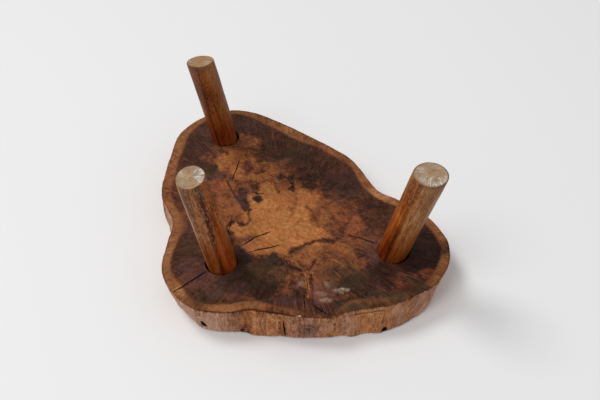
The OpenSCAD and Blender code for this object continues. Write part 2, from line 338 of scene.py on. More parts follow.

# ---------------------------------------------------------------- the legs' looks

# Each leg's browns from dark to light; the paler and darker streaks down it, and its orange ones, with
# the side each faces as x, y, its half width in degrees, its change of tone or its strength, and how many
# degrees it turns on its way up; how much of the leg is flecked; and the change of tone near its foot
# Some pale streaks are painted highlights along a leg's edge: the first of the front right leg's, and partly
# the third of the back right leg's
LEG_LOOKS = {
    "back_right": dict(
        colours=((0.034, 0.0060, 0.0013), (0.135, 0.0255, 0.0038), (0.280, 0.074, 0.013),
                 (0.510, 0.225, 0.078)),
        # The third streak is partly a painted highlight along the leg's edge
        streaks=((0.18, -1, 7, -0.26, 14), (0.8, -0.6, 24, 0.05, 0), (-0.8, -0.6, 30, 0.17, 0),
                 (0.8, 0.9, 60, -0.1, 0)),
        glows=((0.7, -0.8, 26, 0.5, 0), (-0.2, -1, 12, 0.3, 0)),
        flecks=0.35, foot_tone=-0.035),
    "front_right": dict(
        colours=((0.034, 0.0080, 0.0025), (0.190, 0.051, 0.0120), (0.400, 0.132, 0.037),
                 (0.680, 0.380, 0.190)),
        # The first streak is a painted highlight along the leg's edge
        streaks=((0.88, -0.47, 10, 0.68, 0), (-0.52, -0.85, 8, -0.34, 23), (-0.85, -0.5, 24, 0.0, 0),
                 (0.35, -1, 20, -0.02, 0), (-0.3, 1, 60, -0.08, 0)),
        glows=((-0.80, -0.60, 26, 1.0, 10), (-1, 0.6, 40, 0.4, 0)),
        flecks=0.85, foot_tone=-0.065),
    "left": dict(
        colours=((0.034, 0.0085, 0.0018), (0.165, 0.045, 0.0085), (0.380, 0.130, 0.030),
                 (0.610, 0.325, 0.135)),
        streaks=((0.9, -0.44, 22, -0.17, 0), (0.62, -0.78, 8, -0.26, 0), (-0.1, -1, 22, 0.03, 0),
                 (-0.85, -0.5, 22, 0.14, 0), (-1, 0.4, 60, -0.04, 0)),
        glows=((0.86, -0.5, 26, 1.0, 0), (1, 0.7, 40, 0.5, 0)),
        flecks=0.6, foot_tone=0.055),
}

# Torn pale fibres on each sawn foot: x, y from its middle, radius, strength
FOOT_TORN = {
    "back_right": ((13, 2, 6, 0.5), (-10, -4, 6, 0.3)),
    "front_right": ((-12, 5, 8, 1.0), (-15, -4, 7, 0.8), (10, 8, 6, 0.3)),
    "left": ((-4, -13, 9, 1.0), (-15, -8, 7, 0.7), (8, -6, 7, 0.5), (12, 8, 6, 0.4)),
}
# How grey and how brown each sawn foot has gone, and how dark its rim is
FOOT_WEAR = {"back_right": (0.05, 0.80, 0.60), "front_right": (0.45, 0.30, 0.60), "left": (0.25, 0.15, 0.90)}

# ---------------------------------------------------------------- colours, dark to light

HEART_COLOURS = (
    (0.00, (0.010, 0.0046, 0.0030)), (0.10, (0.027, 0.0106, 0.0062)), (0.20, (0.057, 0.0212, 0.0112)),
    (0.34, (0.116, 0.0400, 0.0168)), (0.48, (0.190, 0.0645, 0.0240)), (0.64, (0.278, 0.0985, 0.0315)),
    (0.82, (0.390, 0.1480, 0.0430)), (1.00, (0.530, 0.2240, 0.0720)),
)
SAP_COLOURS = (
    (0.00, (0.034, 0.0150, 0.0080)), (0.25, (0.100, 0.0380, 0.0160)), (0.45, (0.195, 0.0740, 0.0265)),
    (0.65, (0.295, 0.1180, 0.0450)), (0.85, (0.420, 0.1950, 0.0850)), (1.00, (0.540, 0.2900, 0.1450)),
)
BARK_COLOURS = (
    (0.00, (0.044, 0.0160, 0.0095)), (0.20, (0.160, 0.0580, 0.0310)), (0.45, (0.365, 0.1500, 0.0780)),
    (0.70, (0.550, 0.2650, 0.1500)), (1.00, (0.720, 0.4300, 0.2850)),
)
HOLE_COLOURS = ((0.3, (0.02, 0.008, 0.005)), (0.7, (0.09, 0.034, 0.016)))
FOOT_COLOURS = (
    (0.15, (0.150, 0.086, 0.046)), (0.40, (0.310, 0.195, 0.110)), (0.62, (0.430, 0.295, 0.180)),
    (0.85, (0.560, 0.430, 0.300)),
)
TENON_COLOURS = ((0.15, (0.035, 0.014, 0.008)), (0.45, (0.13, 0.052, 0.024)), (0.8, (0.30, 0.145, 0.065)))
WEDGE_COLOURS = ((0.2, (0.07, 0.032, 0.016)), (0.5, (0.25, 0.125, 0.055)), (0.8, (0.44, 0.26, 0.13)))
# Near-black painted shade for the insides of cracks, pits and holes, and for the gap round each leg's end
GAP_SHADE = (0.008, 0.004, 0.003)
# How dark the rings of a knot are, from its outside to its middle
KNOT_RINGS = ((0.10, 0), (0.26, 0.8), (0.40, 0.25), (0.58, 0.75), (0.74, 0.35), (1.0, 0.9))


# ---------------------------------------------------------------- small tools

def smooth(low, high, x):
    """0 below low, 1 above high, and an eased step between."""
    t = np.clip((x - low) / (high - low), 0, 1)
    return t * t * (3 - 2 * t)


def bell(x):
    """1 at 0, fading to 0 on both sides."""
    return np.exp(-x ** 2)


def wrapped(gap, whole):
    """A gap round a closed loop, taken the short way."""
    return (gap + whole / 2) % whole - whole / 2


def wobble(points, size, seed, octaves=3):
    """Smooth random values of about -1 to 1 at the points, with bumps of about the given size.
    size is one length, or one for each axis."""
    scaled = np.asarray(points, float) / np.asarray(size, float) + seed * np.array((7.31, 3.17, 5.73))
    return np.array([noise.fractal(Vector(p), 1.0, 2.0, octaves) for p in scaled])


def flat3(xy, z=0.0):
    """Points of a plane as points of space."""
    return np.column_stack([xy, np.full(len(xy), z)])


def patch(xy, spot):
    """How far each point is inside an elliptical spot with a soft rim: 1 at its middle, 0 outside.
    A spot is x, y, half width and half depth, then perhaps an amount and a turn in degrees."""
    x, y, half_w, half_d = spot[:4]
    turn = math.radians(spot[5]) if len(spot) > 5 else 0
    c, s = math.cos(turn), math.sin(turn)
    away = xy - np.array((x, y)) * MM
    u, v = away @ (c, s), away @ (-s, c)
    return 1 - smooth(0.7, 1.25, np.hypot(u / (half_w * MM), v / (half_d * MM)))


def patches(xy, spots):
    """The sum of such spots, each times its strength, from 0 to 1."""
    return np.clip(sum(spot[4] * patch(xy, spot) for spot in spots), 0, 1)


def stroke(xy, half, line):
    """The same as patch for a stroke along a line of points."""
    line = np.array(line, float) * MM
    gap = np.full(len(xy), np.inf)
    for start, end in zip(line, line[1:]):
        step = end - start
        t = np.clip((xy - start) @ step / (step @ step), 0, 1)
        gap = np.minimum(gap, np.linalg.norm(xy - start - t[:, None] * step, axis=1))
    return 1 - smooth(0.5, 1.3, gap / (half * MM))


def gap_to(xy, x, y, up=0.0):
    """Distance of points from a place that is given in millimetres."""
    return np.sqrt(((xy - np.array((x, y)) * MM) ** 2).sum(1) + up ** 2)


def rim_sum(xy, spots):
    """What places along the bark line add up to at each point: x, y, reach and amount of each."""
    return sum(amount * bell(gap_to(xy, x, y) / (0.7 * reach * MM)) for x, y, reach, amount in spots)


def warped(xy, seed):
    """The points moved about a little, so that painted spots get natural outlines."""
    at = flat3(xy)
    big = np.column_stack([wobble(at, 0.032, seed + k) for k in (0, 1)]) * 7 * MM
    small = np.column_stack([wobble(at, 0.009, seed + k) for k in (2, 3)]) * 4 * MM
    return xy + big + small


def tree_of(xy):
    """A search tree of flat points."""
    tree = KDTree(len(xy))
    for k, (x, y) in enumerate(xy):
        tree.insert((x, y, 0), k)
    tree.balance()
    return tree


def within(loop, xy, margin=0.0):
    """Whether points are inside a loop round the origin by the margin."""
    angle = np.arctan2(loop[:, 1], loop[:, 0])
    order = np.argsort(angle)
    reach = np.hypot(*loop[order].T)
    limit = np.interp(np.arctan2(xy[:, 1], xy[:, 0]), angle[order], reach, period=2 * math.pi)
    return np.hypot(*xy.T) < limit - margin


def pairs_round(ids):
    """The edges of a closed ring of vertex numbers."""
    ids = list(ids)
    return list(zip(ids, ids[1:] + ids[:1]))


def in_scene(name, data):
    """A new object of the scene that holds a mesh, a lamp or a camera."""
    made = bpy.data.objects.new(name, data)
    bpy.context.scene.collection.objects.link(made)
    return made


def object_of(name, points, faces):
    mesh = bpy.data.meshes.new(name)
    mesh.from_pydata([tuple(p) for p in points], [], faces)
    return in_scene(name, mesh)


def store(made, name, values):
    """Keeps one number or one vector per vertex for the materials to read."""
    values = np.asarray(values, np.float32)
    kind, field = ("FLOAT", "value") if values.ndim == 1 else ("FLOAT_VECTOR", "vector")
    made.data.attributes.new(name, kind, "POINT").data.foreach_set(field, values.ravel())


class Body:
    """A mesh in the making: its points, its faces, and the number of each face's material."""

    def __init__(self):
        self.points, self.faces, self.kinds = np.zeros((0, 3)), [], []

    def add(self, points):
        """Adds points, and gives back their numbers."""
        start = len(self.points)
        self.points = np.vstack([self.points, points])
        return np.arange(start, len(self.points))

    def join(self, faces, kind=0):
        self.faces += faces
        self.kinds += [kind] * len(faces)

    def bridge(self, low, high, kind=0):
        """Faces between two closed rings of vertex numbers."""
        self.join([(a, b, d, c) for (a, b), (c, d) in zip(pairs_round(low), pairs_round(high))], kind)

    def tube(self, rings, kind=0):
        """Adds rings of points with faces from each ring to the next, and gives back their numbers."""
        ids = self.add(np.vstack(rings)).reshape(len(rings), -1)
        for low, high in zip(ids, ids[1:]):
            self.bridge(low, high, kind)
        return ids

    def cap(self, ring, middle, kind=0):
        """Closes a ring with a fan round one new point."""
        tip, = self.add([middle])
        self.join([(a, b, tip) for a, b in pairs_round(ring)], kind)

    def made(self, name):
        """The mesh as an object: faces outwards, shaded smooth, with its real corners sharp."""
        made = object_of(name, self.points, self.faces)
        made.data.polygons.foreach_set("material_index", self.kinds)
        work = bmesh.new()
        work.from_mesh(made.data)
        bmesh.ops.recalc_face_normals(work, faces=work.faces)
        work.to_mesh(made.data)
        work.free()
        made.data.shade_smooth()
        made.data.set_sharp_from_angle(angle=math.radians(SHARP_DEGREES))
        return made


def triangulated(flat, edges, fixed, first_new):
    """Triangles over flat points that keep to the edges. The first points already have the vertex
    numbers fixed, and the others are numbered from first_new. Gives the new points, which of the
    given points each was, the triangles by vertex number, and the middle of each."""
    made = geometry.delaunay_2d_cdt([Vector(p) for p in flat], edges, [], 1, 1e-7, True)
    numbers, new, origins = [], [], []
    for point, origin in zip(made[0], made[3]):
        if origin and origin[0] < len(fixed):
            numbers.append(fixed[origin[0]])
        else:
            numbers.append(first_new + len(new))
            new.append(tuple(point))
            origins.append(origin[0] if origin else None)
    corners = np.array(made[0])
    middles = np.array([corners[list(face)].mean(0) for face in made[2]])
    return np.array(new), origins, [[numbers[k] for k in face] for face in made[2]], middles


# ---------------------------------------------------------------- what the CAD frame says

def cad_points(node):
    return np.array([v.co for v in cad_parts[node].data.vertices])


class Leg:
    """A leg's centre line and radii, measured on its CAD node."""

    def __init__(self, side):
        self.side = side
        points = cad_points("leg_" + side)
        faces = [face.vertices[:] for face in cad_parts["leg_" + side].data.polygons]
        self.tree = BVHTree.FromPolygons(points.tolist(), faces)
        top = points[points[:, 2] > SEAT_Z - MM]
        foot = points[points[:, 2] < FOOT_BAND]
        self.top = (top.max(0) + top.min(0)) / 2
        self.aim((foot.max(0) + foot.min(0)) / 2)
        x, y, _ = self.fitted_circle(foot)
        along = (foot.mean(0) - self.top) @ self.axis
        self.aim(self.top + self.axis * along + self.u * x + self.v * y)
        self.foot_r = self.fitted_circle(foot)[2]
        self.top_r = float(np.percentile(np.linalg.norm(self.across(top), axis=1), 70))
        self.base = self.at(0)
        self.root = UNDER_Z / self.axis[2]
        self.wedge_way = self.wedge_heading()

    def aim(self, low):
        """Points the centre line from a low point to the leg's top."""
        self.axis = (self.top - low) / np.linalg.norm(self.top - low)
        self.u = np.cross(self.axis, (0, 1, 0))
        self.u /= np.linalg.norm(self.u)
        self.v = np.cross(self.axis, self.u)

    def across(self, points):
        """The points' places seen along the centre line."""
        return np.column_stack([(points - self.top) @ self.u, (points - self.top) @ self.v])

    def fitted_circle(self, points):
        """Centre and radius of the circle through points on the leg's side."""
        flat = self.across(points)
        fit = np.linalg.lstsq(np.column_stack([flat, np.ones(len(flat))]), (flat ** 2).sum(1), rcond=None)[0]
        x, y = fit[:2] / 2
        return x, y, math.sqrt(fit[2] + x * x + y * y)

    def wedge_heading(self):
        """The level direction of the wedge's long side, measured on its CAD node."""
        points = cad_points("wedge_" + self.side)
        points = points[points[:, 2] > SEAT_Z - 0.5 * MM][:, :2]
        return np.array((*np.linalg.svd(points - points.mean(0))[2][0], 0.0))

    def foot_height(self, points):
        """How far up the centre line's direction from each point the sawn foot is."""
        start = points - self.axis * RAY_START
        hits = [self.tree.ray_cast(Vector(p), Vector(self.axis))[3] for p in start]
        return np.array([np.nan if hit is None else hit for hit in hits]) - RAY_START

    def at(self, z):
        """The point of the centre line at a height."""
        return self.top + self.axis * (z - self.top[2]) / self.axis[2]

    def spokes(self, count):
        """Directions round the centre line, square to it."""
        turn = np.linspace(0, 2 * math.pi, count, endpoint=False)
        return np.outer(np.cos(turn), self.u) + np.outer(np.sin(turn), self.v)


def bark_line():
    """The slice's outline as CAD has it, in order, as a smooth closed curve of even small steps."""
    points = cad_points("seat_slab")
    points = points[np.abs(points[:, 2] - UNDER_Z) < 0.1 * MM][:, :2]
    for leg in LEGS:
        points = points[np.linalg.norm(points - leg.at(UNDER_Z)[:2], axis=1) > 1.5 * leg.top_r]
    points = np.unique(points.round(6), axis=0)
    points = points[np.argsort(np.arctan2(points[:, 1], points[:, 0]))]
    a, b, c, d = (np.roll(points, k, axis=0)[:, None] for k in (1, 0, -1, -2))
    s = np.linspace(0, 1, 4, endpoint=False)[None, :, None]
    curve = 0.5 * (2 * b + (c - a) * s + (2 * a - 5 * b + 4 * c - d) * s ** 2
                   + (3 * b - a - 3 * c + d) * s ** 3)
    return curve.reshape(-1, 2)


class Bark:
    """The bark line with its running length, and the columns of points that the mesh takes from it."""

    def __init__(self):
        self.line = bark_line()
        steps = np.linalg.norm(np.roll(self.line, -1, axis=0) - self.line, axis=1)
        self.length = steps.sum()
        self.radius = self.length / (2 * math.pi)
        self.run = np.concatenate([[0], np.cumsum(steps)])[:-1]
        self.tree = tree_of(self.line)
        self.crack_runs = [self.run[np.argmin(gap_to(self.line, x, y))] for x, y, *_ in RIM_CRACKS]
        base = np.linspace(0, self.length, int(self.length / RIM_STEP), endpoint=False)
        for middle, (_, _, width, *_) in zip(self.crack_runs, RIM_CRACKS):
            half = width / 2 * MM
            base = base[np.abs(base - middle) > half + 0.6 * RIM_STEP]
            base = np.concatenate([base, middle + np.array((-half, -0.3 * half, 0.3 * half, half))])
        self.columns = np.sort(base % self.length)
        self.xy = self.point(self.columns)
        step = self.point(self.columns + MM) - self.point(self.columns - MM)
        self.tangent = step / np.linalg.norm(step, axis=1)[:, None]
        self.normal = np.column_stack([self.tangent[:, 1], -self.tangent[:, 0]])

    def point(self, run):
        """The point of the line at a running length."""
        full = np.concatenate([self.run, [self.length]])
        loop = np.vstack([self.line, self.line[:1]])
        return np.column_stack([np.interp(run % self.length, full, loop[:, k]) for k in (0, 1)])

    def inside(self, xy):
        """How far points are inside the line (negative outside), and the running length nearest to each."""
        nearest = np.array([self.tree.find((x, y, 0))[1] for x, y in xy])
        gap = np.full(len(xy), np.inf)
        run = np.zeros(len(xy))
        for first in (nearest - 1, nearest):
            start = self.line[first]
            step = np.roll(self.line, -1, axis=0)[first] - start
            size = (step ** 2).sum(1)
            t = np.clip(((xy - start) * step).sum(1) / size, 0, 1)
            away = np.linalg.norm(xy - start - t[:, None] * step, axis=1)
            run = np.where(away < gap, self.run[first] + t * np.sqrt(size), run)
            gap = np.minimum(gap, away)
        return np.where(within(self.line, xy), gap, -gap), run


LEGS = [Leg(side) for side in ("back_right", "front_right", "left")]
BARK = Bark()


# ---------------------------------------------------------------- the seat's mesh

def crack_row(share):
    """How deep the drying cracks are in one row of the slice's side, and how far they push it along."""
    hollow, slide = np.zeros(len(BARK.xy)), np.zeros(len(BARK.xy))
    sway = 0.7 * MM * noise.noise(Vector((share * SEAT_T / (12 * MM), 0, 0)))
    for middle, (_, _, width, under, face, lean) in zip(BARK.crack_runs, RIM_CRACKS):
        gap = np.abs(wrapped(BARK.columns - middle, BARK.length))
        depth = under + (face - under) * smooth(0.1, 0.9, share)
        hollow += depth * MM * np.clip(1 - gap / (0.95 * width / 2 * MM), 0, 1)
        slide += (sway + lean * MM * (1 - share)) * bell(gap / (7 * MM))
    return hollow, slide


def bark_row(h, undercut):
    """One row of the slice's side, h above the underside, and how deep its cracks and pits are."""
    at = flat3(BARK.xy, h)
    share = h / SEAT_T
    corner = min(h, SEAT_T - h)
    arris = 1.1 * MM * max(0, 1 - corner / (2.4 * MM)) ** 2
    relief = (1.3 * wobble(at, (0.05, 0.05, 0.03), 1) + 0.8 * wobble(at, (0.006, 0.006, 0.05), 2)
              + 0.4 * wobble(at, (0.002, 0.002, 0.018), 3)) * MM * (0.35 + 0.65 * min(1, corner / (4 * MM)))
    hollow, slide = crack_row(share)
    for x, y, up, radius, depth in RIM_PITS:
        hollow += depth * MM * bell(gap_to(BARK.xy, x, y, h - up * MM) / (radius * MM))
    for x, y, up, radius, height in RIM_KNOTS:
        gap = gap_to(BARK.xy, x, y, h - up * MM) / (radius * MM)
        relief += height * MM * bell((gap - 1) / 0.4)
    out = relief - hollow - arris - undercut * share ** 1.4
    xy = BARK.xy + BARK.normal * out[:, None] - BARK.tangent * slide[:, None]
    return flat3(xy, UNDER_Z + h), hollow


def hole_wall(leg):
    """Rings of the hole for one leg, each cut level, from the underside to the seat's face."""
    rings = []
    for h in SEAT_T * np.array(HOLE_ROWS) / HOLE_ROWS[-1]:
        worn = smooth(MOUTH_DEPTH, 0, h) if h < MOUTH_DEPTH else 0.0
        lip = 0.5 * MM * max(0, 1 - min(h, SEAT_T - h) / (0.8 * MM))
        ring = leg.spokes(HOLE_SIDES)
        rough = wobble(ring * 0.02 + (0, 0, h), 0.009, 4) * (0.15 + 0.5 * worn) * MM
        ring *= (leg.top_r + PLAY + MOUTH_EXTRA * worn + lip + rough)[:, None]
        ring -= np.outer(ring[:, 2] / leg.axis[2], leg.axis)
        rings.append(ring + leg.at(UNDER_Z + h) + np.array((*MOUTH_SHIFT[leg.side], 0)) * MM * worn)
    return rings


def crack_lines(cracks, seed):
    """For each crack, its two lips and its bottom as flat points, and the bottom's depth at each."""
    lines = []
    for number, (width, depth, points) in enumerate(cracks):
        points = np.array(points, float) * MM
        run = np.concatenate([[0], np.cumsum(np.linalg.norm(np.diff(points, axis=0), axis=1))])
        s = np.linspace(0, run[-1], max(6, int(run[-1] / (2.2 * MM))))
        path = np.column_stack([np.interp(s, run, points[:, k]) for k in (0, 1)])
        along = np.gradient(path, axis=0)
        along /= np.linalg.norm(along, axis=1)[:, None]
        across = np.column_stack([-along[:, 1], along[:, 0]])
        taper = np.sin(math.pi * (s / run[-1]))
        jitter = wobble(flat3(path, number), 0.009, seed) * 1.3 * MM * taper
        path = path + across * jitter[:, None]
        swell = taper ** 0.55 * (0.8 + 0.35 * wobble(flat3(path), 0.006, seed + 1))
        half = np.maximum(0.10, width / 2 * swell)[:, None] * MM * 1.3
        lines.append((path + across * half, path[1:-1], path - across * half, depth * MM * swell[1:-1]))
    return lines


def crack_chains(lines, start):
    """The cracks' points, edges and depths. Each has two lips and a bottom, which meet at its ends."""
    flat, edges, depth = [], [], []
    for left, middle, right, deep in lines:
        n = len(middle)
        ends = (left[[0, -1]] + right[[0, -1]]) / 2
        for lane in range(3):
            ids = [start] + [start + 1 + lane * n + k for k in range(n)] + [start + 3 * n + 1]
            edges += list(zip(ids, ids[1:]))
        flat.append(np.vstack([ends[:1], left[1:-1], middle, right[1:-1], ends[1:]]))
        depth.append(np.concatenate([np.zeros(n + 1), deep, np.zeros(n + 1)]))
        start += 3 * n + 2
    return flat, edges, depth


def face_grid(outer, holes, lines, seed):
    """Loose points that fill a sawn face, clear of its outline, its holes and its cracks."""
    low, high = outer.min(0), outer.max(0)
    rows = np.arange(low[1], high[1], FACE_STEP * 0.866)
    grid = np.array([(x + (k % 2) * FACE_STEP / 2, y) for k, y in enumerate(rows)
                     for x in np.arange(low[0], high[0], FACE_STEP)])
    grid += np.random.default_rng(seed).uniform(-0.28, 0.28, grid.shape) * FACE_STEP
    grid = grid[within(outer, grid, 1.3 * MM)]
    lips = tree_of(np.vstack([part for left, _, right, _ in lines for part in (left, right)]))
    keep = np.array([lips.find((x, y, 0))[2] for x, y in grid]) > 1.25 * MM
    for hole in holes:
        centre = hole.mean(0)
        reach = np.linalg.norm(hole - centre, axis=1).max()
        keep &= np.linalg.norm(grid - centre, axis=1) > reach + 1.0 * MM
    return grid[keep]


def face_mesh(rings, ids, cracks, first_new, seed):
    """One sawn face between its outline and its holes, with V-shaped cracks: its new flat points, how
    deep each is, and its triangles. ids are the vertex numbers of the rings that it must meet."""
    rings = [ring[:, :2] for ring in rings]
    lines = crack_lines(cracks, seed)
    edges, start = [], 0
    for ring in rings:
        edges += pairs_round(range(start, start + len(ring)))
        start += len(ring)
    chains, chain_edges, chain_depth = crack_chains(lines, start)
    grid = face_grid(rings[0], rings[1:], lines, seed)
    flat = np.vstack([*rings, *chains, grid])
    deep = np.concatenate([np.zeros(start), *chain_depth, np.zeros(len(grid))])
    new, origins, faces, middles = triangulated(flat, edges + chain_edges, np.concatenate(ids), first_new)
    depth = np.array([0.0 if k is None else deep[k] for k in origins])
    holes = [set(ring) for ring in ids[1:]]
    kept = [face for face, inside in zip(faces, within(rings[0], middles))
            if inside and not any(hole.issuperset(face) for hole in holes)]
    return new, depth, kept


def add_face(body, rings, ids, face):
    """Adds one sawn face, a little uneven, and gives back how deep in a crack each new point is."""
    z, inward, cracks, kind, seed = face
    xy, depth, triangles = face_mesh(rings, ids, cracks, len(body.points), seed)
    inner, _ = BARK.inside(xy)
    swell = 0.35 * wobble(flat3(xy, z), 0.06, 5) + 0.12 * wobble(flat3(xy, z), 0.007, 6)
    dish = (0.25 + swell * 0.6) * MM * smooth(0, 8 * MM, inner)
    body.add(np.column_stack([xy, z + inward * (depth + dish)]))
    body.join(triangles, kind)
    return depth / (2 * MM)


def build_seat():
    body = Body()
    undercut = rim_sum(BARK.xy, UNDERCUTS) * MM
    wall, hollows = zip(*[bark_row(h, undercut) for h in SEAT_T * np.array(RIM_ROWS) / RIM_ROWS[-1]])
    rings, ids = [wall], [body.tube(wall, BARK_FACE)]
    crack = [np.concatenate(hollows) / (3 * MM)]
    deep = smooth(0, 5, np.minimum(HOLE_ROWS, HOLE_ROWS[-1] - np.array(HOLE_ROWS)))
    for leg in LEGS:
        rings.append(hole_wall(leg))
        ids.append(body.tube(rings[-1], HOLE_FACE))
        crack.append(np.repeat(deep, HOLE_SIDES))
    for row, face in ((0, (UNDER_Z, 1, UNDER_CRACKS, UNDER_FACE, 11)),
                      (-1, (SEAT_Z, -1, TOP_CRACKS, TOP_FACE, 23))):
        crack.append(add_face(body, [ring[row] for ring in rings], [ring[row] for ring in ids], face))
    made = body.made("seat")
    paint_seat(made, body.points, np.concatenate(crack))
    return made


def end_grain(away, radius):
    """For points of end grain: which way each is from the middle, times a radius, and how far."""
    reach = np.linalg.norm(away, axis=1)
    return np.column_stack([away / np.maximum(reach, MM)[:, None] * radius, reach])


def paint_seat(made, points, crack):
    """The fields that the seat's materials read."""
    xy, rise = points[:, :2], points[:, 2] - UNDER_Z
    inner, run = BARK.inside(xy)
    paint_tones(made, xy, rise)
    paint_rim(made, xy, rise, inner, run)
    ledge = patch(np.column_stack([xy[:, 0], rise]), BARK_LEDGE) * (xy[:, 1] < 0) * (inner < 3 * MM)
    # How far into a crack, a pit or a hole each point is, and the ledge line: the materials paint it
    # near-black as shade
    store(made, "crack", np.clip(np.maximum(crack, 0.5 * ledge), 0, 1))


def paint_tones(made, xy, rise):
    """Tone, casts, mottling and scuffs of the sawn faces. The tone holds some painted shadow beside the
    legs' roots, and the scuffs one painted highlight.
    """
    moved = warped(xy, 31)
    tone = np.full(len(xy), HEART_TONE)
    for spot in TONES:
        tone += (spot[4] - tone) * patch(moved, spot)
    for half, shade, line in VEINS:
        tone += (shade - tone) * 0.9 * stroke(moved * 0.45 + xy * 0.55, half, line)
    store(made, "tone", tone)
    for name, spots in (("red", REDS), ("violet", VIOLETS), ("olive", OLIVES), ("mottle", MOTTLES)):
        store(made, name, patches(moved, spots))
    store(made, "scuff_and_highlight", patches(warped(xy, 47) * 0.35 + xy * 0.65, SCUFFS_AND_HIGHLIGHT) * (rise < SEAT_T / 2))
    store(made, "rays", end_grain(xy - np.array(PITH) * MM, BARK.radius))


def paint_rim(made, xy, rise, inner, run):
    """The sapwood band, the dark arris, and the tones, knots and upright grain of the bark side."""
    width = SAP_WIDTH + rim_sum(xy, SAP_CHANGES)
    store(made, "sap", inner / (np.maximum(width, 3) * MM))
    store(made, "inner", inner / MM - rim_sum(xy, ARRIS_LINE))
    for name, spots in (("sap_tone", SAP_TONES), ("side_tone", SIDE_TONES), ("side_pink", SIDE_PINKS),
                        ("side_tan", SIDE_TANS)):
        store(made, name, rim_sum(xy, spots))
    knots = sum(bell(gap_to(xy, x, y, rise - up * MM) / (radius * MM)) for x, y, up, radius, _ in RIM_KNOTS)
    store(made, "knot", np.clip(knots, 0, 1))
    turn = (run - rim_sum(xy, SIDE_LEAN) * rise) / BARK.radius
    from_arris = np.minimum(rise, SEAT_T - rise)
    round_it = np.column_stack([np.cos(turn), np.sin(turn)]) * BARK.radius
    store(made, "grain", np.column_stack([round_it, from_arris]))
    store(made, "down", from_arris / MM)


# ---------------------------------------------------------------- legs and wedges

def kerf_loop(leg, down, length, thick):
    """A long thin loop with rounded ends, level with the seat's face and some way down the leg."""
    t = 2 * math.pi * np.arange(KERF_SIDES) / KERF_SIDES
    along = (length - thick) / 2 * np.clip(1.6 * np.cos(t), -1, 1) + thick / 2 * np.cos(t) ** 3
    off = thick / 2 * np.clip(1.9 * np.sin(t), -1, 1)
    centre = leg.top - leg.axis * down / leg.axis[2]
    return centre + np.outer(along, leg.wedge_way) + np.outer(off, np.cross((0, 0, 1), leg.wedge_way))


def kerf_thick(down):
    """How thick the wedge is at a depth below the seat's face."""
    return KERF_T + (KERF_TIP_T - KERF_T) * down / KERF_DEPTH


def leg_rings(leg, seed):
    """Rings of points up a leg's side, from its sawn foot to the seat's face."""
    spoke = leg.spokes(LEG_SIDES)
    low = leg.foot_height(leg.base + spoke * leg.foot_r * 0.985)
    high = (SEAT_Z - spoke[:, 2] * leg.top_r) / leg.axis[2]
    long_grain = np.eye(3) - np.outer(leg.axis, leg.axis) * 0.875
    shares = smooth(-0.02, 1.02, np.linspace(0, 1, LEG_ROWS))
    rings = []
    for share in (shares - shares[0]) / (shares[-1] - shares[0]):
        h = low + (high - low) * share
        at = spoke * 0.02 + leg.axis * h[:, None]
        in_seat = smooth(leg.root - 4 * MM, leg.root + 2 * MM, h)
        lumps = (0.55 * wobble(at, 0.05, seed) + 0.16 * wobble(at @ long_grain, 0.006, seed + 1)) * MM
        worn = 0.6 * MM * np.exp(-(h - low) / (0.7 * MM)) + 0.3 * MM * np.exp(-(h - low) / (9 * MM))
        tip = 0.35 * MM * np.exp(-(high - h) / (0.5 * MM))
        radius = leg.foot_r + (leg.top_r - leg.foot_r) * np.clip(h / leg.root, 0, 1)
        radius += lumps * (1 - in_seat) - PLAY * in_seat - worn - tip
        rings.append(leg.base + spoke * radius[:, None] + leg.axis * h[:, None])
    return rings


def saw_foot(body, leg, ring, ids, seed):
    """The sawn foot: rings that close in on its middle, with a little torn end grain."""
    middle = ring.mean(0)
    rings = []
    for share in FOOT_RINGS:
        inner = middle + (ring - middle) * share
        inner += leg.axis * leg.foot_height(inner)[:, None]
        rough = wobble(inner, 0.0035, seed + 2) * 0.22 * MM + wobble(inner, 0.012, seed + 3) * 0.25 * MM
        rings.append(inner + leg.axis * (np.maximum(rough + 0.2 * MM, 0) * smooth(1, 0.9, share))[:, None])
    inner_ids = body.tube(rings, FOOT_FACE)
    body.bridge(ids, inner_ids[0], FOOT_FACE)
    body.cap(inner_ids[-1], middle + leg.axis * (leg.foot_height(middle[None])[0] + 0.2 * MM), FOOT_FACE)


def cut_kerf(body, leg):
    """The slot for the wedge in the leg's end, and its mouth's points and their numbers."""
    loops = []
    for down in np.array(KERF_ROWS) * MM:
        open_by, longer = (0.5 * MM, 0.4 * MM) if down == 0 else (0.12 * MM, 0)
        loops.append(kerf_loop(leg, down, 2 * leg.top_r - 2.4 * MM + longer, kerf_thick(down) + open_by))
    ids = body.tube(loops)
    body.cap(ids[-1], loops[-1].mean(0))
    return loops[0], ids[0]


def end_points(leg, ring, mouth, seed):
    """Loose points that fill the leg's end at the seat's face, clear of its rim and of the slot."""
    centre, way = leg.top[:2], leg.wedge_way[:2]
    span = np.arange(-leg.top_r * 1.1, leg.top_r * 1.1, END_STEP)
    grid = np.array([(x + (k % 2) * END_STEP / 2, y * 0.9) for k, y in enumerate(span) for x in span])
    grid = grid + np.random.default_rng(seed).uniform(-0.2, 0.2, grid.shape) * END_STEP
    reach = np.linalg.norm(ring[:, :2] - centre, axis=1).min() - 1.0 * MM
    grid = grid[np.linalg.norm(grid, axis=1) < reach]
    gap = np.linalg.norm((grid + centre)[:, None] - mouth[None, :, :2], axis=2).min(1)
    beside = np.abs(grid @ (-way[1], way[0])) > KERF_T / 2 + 1.1 * MM
    beyond = np.abs(grid @ way) > leg.top_r - 0.2 * MM
    return grid[(gap > 1.0 * MM) & (beside | beyond)] + centre


